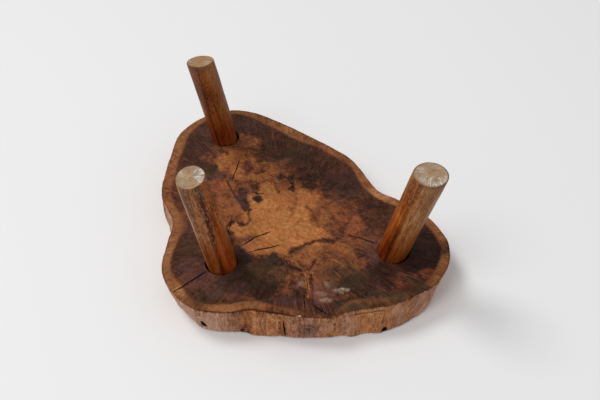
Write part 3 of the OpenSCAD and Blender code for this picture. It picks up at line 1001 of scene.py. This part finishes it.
def close_end(body, leg, ring, ids, seed):
    """The leg's end at the seat's face, round the slot that takes the wedge."""
    mouth, mouth_ids = cut_kerf(body, leg)
    flat = np.vstack([ring[:, :2], mouth[:, :2], end_points(leg, ring, mouth, seed)])
    edges = pairs_round(range(LEG_SIDES)) + pairs_round(range(LEG_SIDES, LEG_SIDES + KERF_SIDES))
    new, _, faces, _ = triangulated(flat, edges, np.concatenate([ids, mouth_ids]), len(body.points))
    relief = 0.15 * MM * wobble(flat3(new, 1), 0.004, seed + 4)
    body.add(np.column_stack([new, SEAT_Z - 0.1 * MM + relief]))
    body.join([face for face in faces if not set(face) <= set(mouth_ids)], END_FACE)


def build_leg(leg, seed):
    body = Body()
    rings = leg_rings(leg, seed)
    ids = body.tube(rings)
    saw_foot(body, leg, rings[0], ids[0], seed)
    close_end(body, leg, rings[-1], ids[-1], seed)
    made = body.made("leg_" + leg.side + "_wood")
    paint_leg(made, leg, body.points - leg.base, seed)
    return made


def paint_leg(made, leg, away, seed):
    """The fields that a leg's materials read, for points measured from the middle of its foot."""
    up = away @ leg.axis
    x, y = away @ leg.u, away @ leg.v
    store(made, "grain", np.column_stack([x, y, up]))
    store(made, "up", up / leg.root)
    store(made, "rim", np.hypot(x, y) / np.interp(up, (0, leg.root), (leg.foot_r, leg.top_r)))
    spin = np.arctan2(away[:, 1] - up * leg.axis[1], away[:, 0] - up * leg.axis[0])
    spin += 0.06 * wobble(np.column_stack([up, up * 0, up * 0]), 0.05, seed + 5)
    # The streaks hold painted highlights along the edges of the right legs
    for name in ("streak", "glow"):
        total = np.zeros(len(up))
        for x, y, half, change, twist in LEG_LOOKS[leg.side][name + "s"]:
            heading = math.atan2(y, x) + math.radians(twist) * up / leg.root
            total += change * bell(wrapped(spin - heading, 2 * math.pi) / math.radians(half))
        store(made, name, total)
    store(made, "rays", end_grain(away[:, :2], leg.foot_r))
    torn = [(x, y, radius, radius, strength) for x, y, radius, strength in FOOT_TORN[leg.side]]
    store(made, "torn", patches(away[:, :2], torn))


def build_wedge(leg, seed):
    """A split wedge, crushed a little where the hammer met it."""
    length = 2 * leg.top_r - 2.9 * MM
    loops = []
    for down, shrink in WEDGE_ROWS:
        thick = (kerf_thick(down * MM) - 0.15 * MM) * shrink
        shorter = 0.3 + 0.7 * shrink if shrink < 0.9 else shrink
        loop = kerf_loop(leg, down * MM, length * shorter, thick) + (0, 0, 0.25 * MM)
        loop[:, 2] += wobble(loop, 0.003, seed) * 0.2 * MM * (down < 0.3)
        loops.append(loop)
    body = Body()
    ids = body.tube(loops)
    body.cap(ids[0], loops[0].mean(0))
    body.cap(ids[-1], loops[-1].mean(0))
    made = body.made("wedge_" + leg.side + "_wood")
    away = body.points - leg.top
    side = away @ np.cross((0, 0, 1), leg.wedge_way)
    store(made, "grain", np.column_stack([away @ leg.wedge_way, side, away[:, 2]]))
    return made


# ---------------------------------------------------------------- materials

class Tree:
    """A material's nodes. Its methods take numbers or sockets, and give back a socket."""

    def __init__(self, name):
        self.material = bpy.data.materials.new(name)
        self.material.use_nodes = True
        self.nodes = self.material.node_tree.nodes
        self.links = self.material.node_tree.links
        self.nodes.clear()

    def node(self, kind, inputs, **settings):
        made = self.nodes.new("ShaderNode" + kind)
        for name, value in settings.items():
            setattr(made, name, value)
        for key, value in inputs.items():
            socket = made.inputs[key]
            if isinstance(value, bpy.types.NodeSocket):
                self.links.new(value, socket)
            elif socket.type == "RGBA":
                socket.default_value = (*value[:3], 1)
            else:
                socket.default_value = value
        return made

    def field(self, name):
        return self.node("Attribute", {}, attribute_name=name).outputs["Fac"]

    def vector(self, name):
        return self.node("Attribute", {}, attribute_name=name).outputs["Vector"]

    def place(self, offset=0.0):
        place = self.node("TexCoord", {}).outputs["Object"]
        return self.moved(place, (offset, 0, 0))

    def scaled(self, vector, factors):
        return self.node("VectorMath", {0: vector, 1: factors}, operation="MULTIPLY").outputs[0]

    def turned(self, vector, degrees):
        return self.node("VectorRotate", {"Vector": vector, "Angle": math.radians(degrees)},
                         rotation_type="Z_AXIS").outputs[0]

    def moved(self, vector, offset):
        """The sum of two vectors."""
        return self.node("VectorMath", {0: vector, 1: offset}, operation="ADD").outputs[0]

    def noise(self, vector, size_mm, octaves=3, rough=0.55, bend=0.0):
        values = {"Vector": vector, "Scale": 1000 / size_mm, "Detail": octaves, "Roughness": rough,
                  "Distortion": bend}
        return self.node("TexNoise", values).outputs[0]

    def grain(self, vector, squash, *settings):
        """Noise that is drawn out along Z."""
        return self.noise(self.scaled(vector, (1, 1, squash)), *settings)

    def math(self, operation, a, b):
        return self.node("Math", {0: a, 1: b}, operation=operation).outputs[0]

    def times(self, a, b):
        return self.math("MULTIPLY", a, b)

    def add(self, *terms, plus=0.0):
        """The sum of sockets, or of (socket, factor) pairs, and a number."""
        total = plus
        for term in terms:
            socket, factor = term if isinstance(term, tuple) else (term, 1.0)
            total = self.node("Math", {0: socket, 1: factor, 2: total}, operation="MULTIPLY_ADD").outputs[0]
        return total

    def remap(self, value, start, end, low=0.0, high=1.0):
        values = {"Value": value, "From Min": start, "From Max": end, "To Min": low, "To Max": high}
        return self.node("MapRange", values, interpolation_type="SMOOTHSTEP").outputs[0]

    def broken(self, name, noise, limits):
        """A field with ragged patches, where a noise passes its limits."""
        return self.times(self.remap(self.noise(*noise), *limits), self.field(name))

    def mix(self, share, a, b, mode="MIX"):
        return self.node("Mix", {0: share, 6: a, 7: b}, data_type="RGBA", blend_type=mode).outputs[2]

    def tint(self, share, colour, factors, cover=None, paint=None):
        """The colour times the factors, and partly covered by a paint, as far as the share says."""
        tinted = self.mix(1.0, colour, factors, "MULTIPLY")
        if paint:
            tinted = self.mix(cover, tinted, paint)
        return self.mix(share, colour, tinted)

    def ramp(self, value, stops):
        made = self.node("ValToRGB", {0: value})
        elements = made.color_ramp.elements
        while len(elements) < len(stops):
            elements.new(0.5)
        for element, (where, colour) in zip(elements, stops):
            element.position = where
            element.color = (*colour, 1)
        return made.outputs[0]

    def finish(self, colour, roughness, height, bump_mm, gloss, coat=0.0):
        bump = self.node("Bump", {"Height": height, "Strength": 1.0, "Distance": bump_mm * MM})
        shader = self.node("BsdfPrincipled", {
            "Base Color": colour, "Roughness": roughness, "Normal": bump.outputs[0],
            "Specular IOR Level": gloss, "Coat Weight": coat, "Coat Roughness": 0.3})
        self.node("OutputMaterial", {"Surface": shader.outputs[0]})
        return self.material


def face_patterns(t, offset):
    """The noises and casts of a sawn face. The offset gives each face its own."""
    at, rays = t.place(offset), t.moved(t.vector("rays"), (0, 0, offset))
    rings = t.moved(t.scaled(rays, (0.06, 0.06, 1)), t.scaled(at, (0.25, 0.25, 0.25)))
    faint = t.remap(t.noise(at, 15, 4, 0.6, 1.0), 0.42, 0.66, 0.0, 0.4)
    return SimpleNamespace(
        at=at, rays=rays, faint_red=faint,
        broad=t.noise(at, 24, 4, 0.6, 0.6), blotch=t.noise(at, 10, 4, 0.62, 1.4),
        middle=t.noise(at, 4.5, 4, 0.62, 0.5), fine=t.noise(at, 1.3, 4, 0.65),
        figure=t.noise(t.scaled(t.turned(at, -35), (0.38, 1, 1)), 4.2, 4, 0.6, 1.0),
        ray=t.grain(rays, 0.045, 1.3, 4, 0.62), ray_broad=t.grain(rays, 0.10, 3.6, 4, 0.6),
        ring=t.noise(rings, 2.6, 3),
        red=t.math("MAXIMUM", t.broken("red", (at, 8, 4, 0.6, 0.8), (0.34, 0.58)), faint),
        violet=t.broken("violet", (at, 9, 4, 0.6, 1.0), (0.36, 0.60, 0.2, 0.9)),
        olive=t.broken("olive", (at, 12, 4, 0.6, 1.0), (0.36, 0.56, 0.2, 1.0)))


def heartwood(t, p):
    """The dark heart in many browns, with rays, fungus spots, coloured casts and fine red hairlines."""
    cloud = t.add((p.broad, 0.40), (p.blotch, 0.60), (p.middle, 0.50), (p.fine, 0.22), (p.ring, 0.20),
                  (p.figure, 0.65), plus=-1.285)
    cloud = t.times(cloud, t.remap(t.field("tone"), 0.0, 0.45, 0.30, 1.0))
    spots = t.broken("mottle", (p.at, 6, 4, 0.62, 1.2), (0.52, 0.62))
    # The tone field holds some painted shadow beside the legs' roots
    tone = t.add(t.field("tone"), cloud, (p.ray, 0.36), (p.ray_broad, 0.30), (spots, -0.22), plus=-0.33)
    colour = t.tint(t.times(p.red, 0.8), t.ramp(tone, HEART_COLOURS), (1.20, 0.74, 0.70))
    colour = t.tint(p.violet, colour, (1, 0.9, 1.2), 0.36, (0.150, 0.074, 0.066))
    colour = t.tint(p.olive, colour, (0.78, 1.0, 0.86), 0.30, (0.060, 0.046, 0.026))
    hair = t.remap(t.grain(p.rays, 0.03, 0.8, 3, 0.6), 0.55, 0.65)
    hair = t.times(hair, t.add((t.field("red"), 0.7), (t.field("violet"), 0.2), (p.faint_red, 0.4)))
    return t.mix(hair, colour, t.mix(0.7, colour, (0.33, 0.145, 0.11)))


def sapwood(t, p):
    """The paler band inside the bark line."""
    tone = t.add(t.field("sap_tone"), (p.broad, 0.5), (p.blotch, 0.8), (p.middle, 0.4), (p.fine, 0.2),
                 (p.ray, 0.6), (p.ray_broad, 0.5), plus=-0.94)
    colour = t.tint(t.times(p.red, 0.6), t.ramp(tone, SAP_COLOURS), (1.10, 0.70, 0.62))
    return t.tint(p.olive, colour, (0.74, 0.94, 0.88), 0.35, (0.085, 0.062, 0.036))


def sawn_face(name, offset, gloss):
    """End grain of the slice: heart, sapwood band, dark arris, torn scuffs with one painted highlight, and
    cracks painted near-black as shade.
    """
    t = Tree(name)
    p = face_patterns(t, offset)
    edge = t.add(t.field("sap"), (p.broad, 0.4), (p.blotch, 0.5), (p.middle, 0.25), (p.ray_broad, 0.6))
    sap = t.mix(t.remap(edge, 1.62, 1.84, 0.0, 0.35), sapwood(t, p), (0.085, 0.030, 0.014))
    colour = t.mix(t.remap(edge, 1.76, 2.00), sap, heartwood(t, p))
    arris = t.remap(t.add(t.field("inner"), (p.middle, 2.6)), 1.2, 3.7, 1.0, 0.0)
    colour = t.tint(arris, colour, (0.26, 0.18, 0.15))
    # Pale scuffs, and one painted highlight at the arris
    scuff_and_highlight = t.broken("scuff_and_highlight", (t.scaled(p.at, (0.5, 2.2, 1)), 2.2, 3, 0.7), (0.40, 0.56))
    colour = t.mix(scuff_and_highlight, colour, (0.58, 0.44, 0.32))
    # Painted shade: the cracks go near-black by how deep they are
    cracked = t.remap(t.add(t.field("crack"), (p.fine, 0.5)), 0.32, 0.55)
    colour = t.mix(cracked, colour, GAP_SHADE)
    rough = t.add((p.middle, 0.25), (p.fine, 0.3), (scuff_and_highlight, 0.25), (cracked, 0.2), plus=0.2)
    height = t.add((p.fine, 0.35), (p.ray, 0.5), (p.middle, 0.6), (p.figure, 0.9), (p.blotch, 0.8),
                   (scuff_and_highlight, 0.5))
    return t.finish(colour, rough, height, 0.8, gloss)


def bark_colour(t, at, grain, tone):
    """The bark side's browns, with tan, pinkish and dark strips along the grain."""
    patchy = t.remap(t.noise(at, 11, 4, 0.6, 1.0), 0.36, 0.58, 0.4, 1.0)
    strip = t.grain(grain, 0.08, 4.5, 3, 0.6, 0.6)
    tan = t.times(patchy, t.add(t.field("side_tan"), (t.remap(strip, 0.56, 0.48), 0.35)))
    colour = t.tint(tan, t.ramp(tone, BARK_COLOURS), (1.10, 0.90, 0.55))
    # The pink field is partly a painted highlight at the front right corner
    pink = t.times(t.remap(strip, 0.44, 0.54, 0.35, 1.0), t.field("side_pink"))
    colour = t.tint(pink, colour, (1.0, 1.0, 1.12), 0.26, (0.68, 0.44, 0.33))
    dark = t.remap(t.grain(grain, 0.5, 6, 4, 0.65, 1.0), 0.59, 0.73, 0.0, 0.8)
    return t.mix(dark, colour, (0.075, 0.030, 0.020))


def bark_side(name):
    """The slice's side where the bark came off: fine upright grain, pinkish brown, with darker knots."""
    t = Tree(name)
    at, grain = t.place(), t.vector("grain")
    fibre = t.grain(grain, 0.12, 1.1, 4, 0.65, 0.3)
    streak = t.grain(grain, 0.22, 3.0, 4, 0.65, 0.8)
    band = t.grain(grain, 0.4, 9, 4, 0.6, 1.0)
    fine = t.grain(grain, 0.6, 1.4, 4, 0.65)
    # The side tone holds a pale spot at the front right corner that is partly a painted highlight
    tone = t.add(t.field("side_tone"), (fibre, 0.8), (streak, 0.9), (band, 1.0),
                 (t.noise(at, 26, 4, 0.6, 0.6), 0.9), (fine, 0.9), plus=-1.70)
    colour = bark_colour(t, at, grain, tone)
    pits = t.remap(t.grain(grain, 0.35, 1.6, 2, 0.4), 0.61, 0.71)
    colour = t.mix(t.times(pits, 0.7), colour, (0.06, 0.024, 0.014))
    knot = t.add(t.field("knot"), (fine, 0.15))
    rings = t.ramp(knot, [(where, (dark, dark, dark)) for where, dark in KNOT_RINGS])
    colour = t.mix(rings, colour, (0.100, 0.046, 0.036))
    # Painted shade: the cracks and pits go near-black by how deep they are, and so does the thin ledge line
    colour = t.mix(t.remap(t.field("crack"), 0.12, 0.5), colour, GAP_SHADE)
    ends = t.remap(t.add(t.field("down"), (streak, 3.0)), 1.6, 3.4, 1.0, 0.0)
    colour = t.tint(ends, colour, (0.40, 0.30, 0.26))
    rough = t.add((fibre, 0.3), (band, 0.2), plus=0.35)
    height = t.add((fibre, 0.7), (streak, 1.0), (band, 1.2), (fine, 0.5), (pits, -0.8))
    return t.finish(colour, rough, height, 0.8, 0.08)


def hole_side(name):
    """The bored wall of a leg's hole: dark browns, painted near-black as shade deeper in."""
    t = Tree(name)
    at = t.place()
    fine = t.noise(at, 1.4, 4, 0.6)
    tone = t.add((fine, 0.5), (t.noise(t.scaled(at, (0.3, 0.3, 4)), 3, 3), 0.5))
    # Painted shade: near-black a few millimetres into the hole
    colour = t.mix(t.remap(t.field("crack"), 0.0, 0.9), t.ramp(tone, HOLE_COLOURS), GAP_SHADE)
    return t.finish(colour, t.add((fine, 0.4), plus=0.5), tone, 0.4, 0.2)


def leg_side(name, look, offset):
    """Long grain of a leg: streaked and flecked, with painted highlights among its pale streaks, darker and
    redder where it enters the seat, and worn dull near the foot."""
    t = Tree(name)
    grain, up = t.moved(t.vector("grain"), (offset, offset, 0)), t.field("up")
    fibre, long = t.grain(grain, 0.11, 1.0, 4, 0.65), t.grain(grain, 0.025, 1.8, 4, 0.6)
    band, cloud = t.grain(grain, 0.10, 7, 3, 0.5, 0.6), t.grain(grain, 0.5, 24, 3)
    tone = t.add(t.field("streak"), (fibre, 0.9), (long, 0.6), (band, 0.6), (cloud, 0.7),
                 (t.remap(up, 0.65, 0.25), look["foot_tone"]), plus=-0.87)
    colour = t.ramp(tone, tuple(zip((0.08, 0.32, 0.56, 0.86), look["colours"])))
    glow = t.times(t.field("glow"), t.remap(band, 0.30, 0.50, 0.6, 1.0))
    colour = t.tint(glow, colour, (1.12, 0.76, 0.36))
    dash = t.grain(grain, 0.26, 1.5, 3, 0.6)
    bare = t.remap(t.add(up, (cloud, 0.5), (t.field("glow"), 0.25)), 1.05, 0.75, 0.1, 1.0)
    dark = t.times(t.remap(dash, 0.53, 0.61, 0.0, 0.8 * look["flecks"]), bare)
    colour = t.mix(dark, colour, look["colours"][0])
    pale = t.times(t.remap(dash, 0.46, 0.39, 0.0, 0.7 * look["flecks"]), bare)
    colour = t.mix(pale, colour, (0.50, 0.29, 0.16))
    worn = t.remap(t.add(up, (cloud, 0.5), (fibre, 0.25)), 0.70, 0.36)
    colour = t.mix(t.times(worn, 0.7), colour, t.mix(0.36, colour, (0.27, 0.150, 0.075)))
    colour = t.tint(t.remap(t.add(up, (cloud, 0.4)), 0.66, 1.16), colour, (0.66, 0.40, 0.21))
    colour = t.mix(t.remap(up, 0.022, 0.008, 0.0, 0.6), colour, (0.16, 0.10, 0.07))
    rough = t.add((fibre, 0.3), (band, 0.2), (worn, 0.16), plus=0.14)
    return t.finish(colour, rough, t.add((fibre, 0.8), (long, 0.5), (dash, 0.5)), 0.3, 0.14, 0.1)


def foot_end(name, wear, offset):
    """The sawn foot of a leg: tan end grain, bruised and torn to whitish fibres, with a dark rim."""
    t = Tree(name)
    at, rays = t.place(offset), t.moved(t.vector("rays"), (0, 0, offset))
    fine, broad = t.noise(at, 1.0, 4, 0.6), t.noise(at, 9, 4, 0.6, 1.0)
    saw = t.noise(t.scaled(t.turned(at, 25), (0.15, 1, 1)), 1.4, 3, 0.6)
    ray = t.grain(rays, 0.14, 1.5, 4, 0.6, 0.4)
    ring = t.noise(t.scaled(rays, (0.08, 0.08, 1)), 2.4, 3, 0.5)
    tone = t.add((fine, 0.3), (broad, 0.8), (saw, 0.35), (ray, 0.4), (ring, 0.4), plus=-0.60)
    grey, brown, dark_rim = wear
    colour = t.tint(brown, t.ramp(tone, FOOT_COLOURS), (0.86, 0.66, 0.44))
    colour = t.mix(t.remap(t.noise(at, 13, 3, 0.6), 0.42, 0.60, 0.0, grey), colour, (0.26, 0.21, 0.165))
    torn = t.times(t.remap(t.add(ray, (broad, 0.4)), 0.62, 0.80), t.field("torn"))
    colour = t.mix(torn, colour, (0.74, 0.68, 0.60))
    rim = t.remap(t.add(t.field("rim"), (fine, 0.08)), 0.935, 0.995, 0.0, dark_rim)
    colour = t.mix(rim, colour, (0.060, 0.032, 0.020))
    height = t.add((fine, 0.4), (saw, 0.3), (ray, 0.6), (torn, 0.8))
    return t.finish(colour, t.add((fine, 0.4), plus=0.5), height, 0.4, 0.12)


def tenon_end(name, offset):
    """A leg's end grain at the seat's face, dark with handling, with painted shade round its rim where it
    meets the hole.
    """
    t = Tree(name)
    at = t.place(offset)
    fine = t.noise(at, 1.2, 4, 0.65)
    ring = t.noise(t.scaled(t.moved(t.vector("grain"), (0.03, 0, 0)), (1, 0.12, 0)), 2.0, 3)
    tone = t.add((fine, 0.6), (ring, 0.6), (t.noise(at, 12, 3), 0.5))
    colour = t.ramp(t.add(tone, plus=-0.35), TENON_COLOURS)
    # Painted shade in the gap between the leg's end and its hole
    rim = t.remap(t.add(t.field("rim"), (fine, 0.08)), 0.99, 1.03)
    colour = t.mix(t.times(rim, 0.7), colour, GAP_SHADE)
    return t.finish(colour, t.add((fine, 0.35), plus=0.3), tone, 0.3, 0.4)


def wedge_wood(name, offset):
    """Split long grain, seen end on at the seat's face."""
    t = Tree(name)
    at = t.moved(t.vector("grain"), (offset, 0, 0))
    line = t.noise(t.scaled(at, (0.12, 1, 0.12)), 0.9, 3, 0.6)
    fine = t.noise(at, 1.5, 4, 0.6)
    tone = t.add((line, 0.7), (fine, 0.5))
    colour = t.ramp(t.add(tone, plus=-0.1), WEDGE_COLOURS)
    return t.finish(colour, t.add((fine, 0.35), plus=0.38), tone, 0.25, 0.35)


# ---------------------------------------------------------------- stage, lights, camera

def stage_floor(name, z, faces_down):
    """One floor of the stage. The stool stands on one, and its seat's face rests on the other when the
    camera looks up at the stool from below, so each shows only to a camera on the stool's own side."""
    t = Tree(name)
    white = t.node("BsdfDiffuse", {"Color": FLOOR_WHITE}).outputs[0]
    clear = t.node("BsdfTransparent", {}).outputs[0]
    if faces_down:
        passed = t.node("LightPath", {}).outputs["Transparent Depth"]
        seen = t.node("MixShader", {0: t.math("GREATER_THAN", passed, 0.5), 1: clear, 2: white})
    else:
        behind = t.node("NewGeometry", {}).outputs["Backfacing"]
        seen = t.node("MixShader", {0: behind, 1: white, 2: clear})
    away = t.node("VectorMath", {0: t.place()}, operation="LENGTH").outputs["Value"]
    fade = t.remap(away, FLOOR_FADE, 0.95 * FLOOR_HALF)
    seen = t.node("MixShader", {0: fade, 1: seen.outputs[0], 2: clear})
    t.node("OutputMaterial", {"Surface": seen.outputs[0]})
    corners = [(x * FLOOR_HALF, y * FLOOR_HALF, z) for x, y in ((-1, -1), (1, -1), (1, 1), (-1, 1))]
    floor = object_of(name, corners[::-1] if faces_down else corners, [(0, 1, 2, 3)])
    floor.data.materials.append(t.material)
    for ray in ("diffuse", "glossy", "transmission", "volume_scatter", "shadow"):
        setattr(floor, "visible_" + ray, False)


def lamp(name, place, size, watts):
    light = bpy.data.lights.new(name, "AREA")
    light.shape = "DISK"
    light.size = size
    light.energy = watts
    made = in_scene(name, light)
    made.location = place
    aim = Vector((0, 0, SEAT_Z / 2)) - Vector(place)
    made.rotation_mode = "QUATERNION"
    made.rotation_quaternion = aim.to_track_quat("-Z", "Y")


def light_the_studio():
    for name, (x, y, above_seat), size, watts in LAMPS:
        lamp(name, (x, y, SEAT_Z + above_seat), size, watts)
    world = bpy.data.worlds.new("studio")
    world.use_nodes = True
    background = world.node_tree.nodes["Background"]
    background.inputs["Color"].default_value = (*SKY_WHITE, 1)
    background.inputs["Strength"].default_value = SKY_STRENGTH
    bpy.context.scene.world = world
    bpy.context.scene.view_settings.view_transform = "Standard"


def place_camera():
    """The camera looks up at the stool's underside, with the frame's down as the picture's up."""
    camera = bpy.data.cameras.new("camera")
    camera.lens = LENS_MM
    camera.sensor_width = SENSOR_MM
    made = in_scene("camera", camera)
    lift = math.radians(VIEW_ELEVATION)
    ahead = Vector((0, math.cos(lift), math.sin(lift)))
    right = Vector((-1, 0, 0))
    turn = Matrix((right, (-ahead).cross(right), -ahead)).transposed().to_4x4()
    made.matrix_world = Matrix.Translation(VIEW_TARGET - ahead * VIEW_DISTANCE) @ turn
    bpy.context.scene.camera = made


# ---------------------------------------------------------------- the stool

def add_piece(made, node, slot, *materials):
    for material in materials:
        made.data.materials.append(material)
    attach(made, "root")
    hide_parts(node)


def build_stool():
    """Makes and dresses every piece. The seeds and offsets give each its own grain."""
    add_piece(build_seat(), "seat_slab", "seat_wood", sawn_face("underside_wood", 0.0, 0.06),
              bark_side("bark_side_wood"), sawn_face("seat_face_wood", 0.7, 0.25), hole_side("hole_wood"))
    for k, leg in enumerate(LEGS):
        side = leg.side
        add_piece(build_leg(leg, 60 + 10 * k), "leg_" + side, "leg_wood",
                  leg_side("leg_" + side, LEG_LOOKS[side], 0.3 * k),
                  foot_end("foot_" + side, FOOT_WEAR[side], 0.2 * k), tenon_end("tenon_" + side, 0.2 * k))
        add_piece(build_wedge(leg, 90 + 10 * k), "wedge_" + side, "wedge_wood",
                  wedge_wood("wedge_" + side, 0.1 * k))


build_stool()
stage_floor("floor", -FLOOR_GAP, False)
stage_floor("floor_under_seat", SEAT_Z + FLOOR_GAP, True)
light_the_studio()
place_camera()
